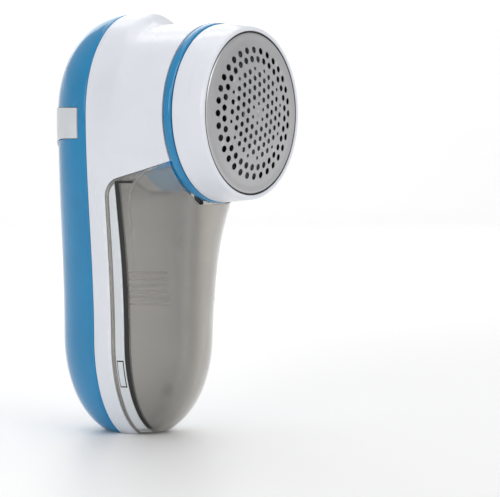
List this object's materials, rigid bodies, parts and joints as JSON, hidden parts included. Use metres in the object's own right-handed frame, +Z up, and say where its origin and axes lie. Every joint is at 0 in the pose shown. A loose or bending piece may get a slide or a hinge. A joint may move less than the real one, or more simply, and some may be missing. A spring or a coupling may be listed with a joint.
{
  "type": "fabric shaver",
  "caption": "Handheld fabric shaver with a round head behind a perforated foil, a smoky slide-off lint container and a side switch.",
  "frame": {"origin": "centre of the bounding box at the foot it stands on", "axes": "+Z up along the handle, -Y the way the head looks, +X the shaver's own left side, where the switch is"},
  "size_m": [0.0648, 0.0809, 0.1545],
  "materials": {
    "blue_plastic": "polished",
    "white_plastic": "polished",
    "trim_plastic": "satin",
    "smoke_plastic": "clear tinted",
    "seal_rubber": "matt",
    "foil_steel": "fine brushed",
    "steel": "bright",
    "motor_steel": "plated can",
    "dark_plastic": "moulded",
    "board_green": "solder mask",
    "copper": "bright",
    "battery_wrap": "shrink wrapped",
    "wire_red": "insulation",
    "wire_black": "insulation"
  },
  "bodies": {
    "housing": {"front_housing": "white_plastic", "rear_shell": "blue_plastic", "back_trim": "trim_plastic", "lint_chute": "blue_plastic", "switch_plate": "white_plastic", "slide_switch": "dark_plastic", "motor_can": "motor_steel", "motor_end_cap": "dark_plastic", "motor_plate": "dark_plastic", "motor_screw_left": "steel", "motor_screw_right": "steel", "motor_terminal_left": "copper", "motor_terminal_right": "copper", "head_seat": "white_plastic", "battery_left": "battery_wrap", "battery_right": "battery_wrap", "battery_holder": "dark_plastic", "battery_tab": "steel", "control_board": "board_green", "control_chip": "dark_plastic", "charge_jack": "dark_plastic", "wire_red": "wire_red", "wire_black": "wire_black", "case_screw_upper_left": "steel", "case_screw_upper_right": "steel", "case_screw_lower_left": "steel", "case_screw_lower_right": "steel", "interlock_switch": "dark_plastic"},
    "rotor": {"motor_shaft": "steel", "fan_wheel": "dark_plastic", "drive_hub": "dark_plastic"},
    "cutter": {"blade_carrier": "dark_plastic", "blade_1": "steel", "blade_2": "steel", "blade_3": "steel", "cutter_spring": "steel"},
    "collar": {"collar_ring": "blue_plastic"},
    "net_cover": {"net_cover_ring": "white_plastic", "foil": "foil_steel", "foil_clamp": "dark_plastic"},
    "container": {"container_frame": "white_plastic", "container_seal": "seal_rubber", "dust_container": "smoke_plastic"},
    "switch": {"switch_knob": "white_plastic"},
    "interlock": {"interlock_pin": "dark_plastic"}
  },
  "joints": [
    {"name": "rotor_spin", "type": "hinge", "parent": "housing", "child": "rotor", "pos_m": [0, -0.01, 0.118], "axis": [0, -1, 0], "continuous": true},
    {"name": "cutter_float", "type": "slide", "parent": "rotor", "child": "cutter", "axis": [0, 1, 0], "range_m": [0, 0.0012], "stiffness_N_per_m": 300, "springref_m": -0.003, "deforming": ["cutter_spring"]},
    {"name": "collar_turn", "type": "hinge", "parent": "housing", "child": "collar", "pos_m": [0, -0.023, 0.118], "axis": [0, -1, 0], "range_deg": [0, 35]},
    {"name": "cover_pull", "type": "slide", "parent": "collar", "child": "net_cover", "axis": [0, -1, 0], "range_m": [0, 0.03]},
    {"name": "container_slide", "type": "slide", "parent": "housing", "child": "container", "axis": [0, 0, -1], "range_m": [0, 0.11]},
    {"name": "switch_slide", "type": "slide", "parent": "housing", "child": "switch", "axis": [0, 0, 1], "range_m": [0, 0.005]},
    {"name": "interlock_follow", "type": "slide", "parent": "housing", "child": "interlock", "axis": [0, -1, 0], "range_m": [0, 0.0015]}
  ],
  "couplings": [
    {"joint": "interlock_follow", "follows": "cover_pull", "ratio": 0.05}
  ]
}
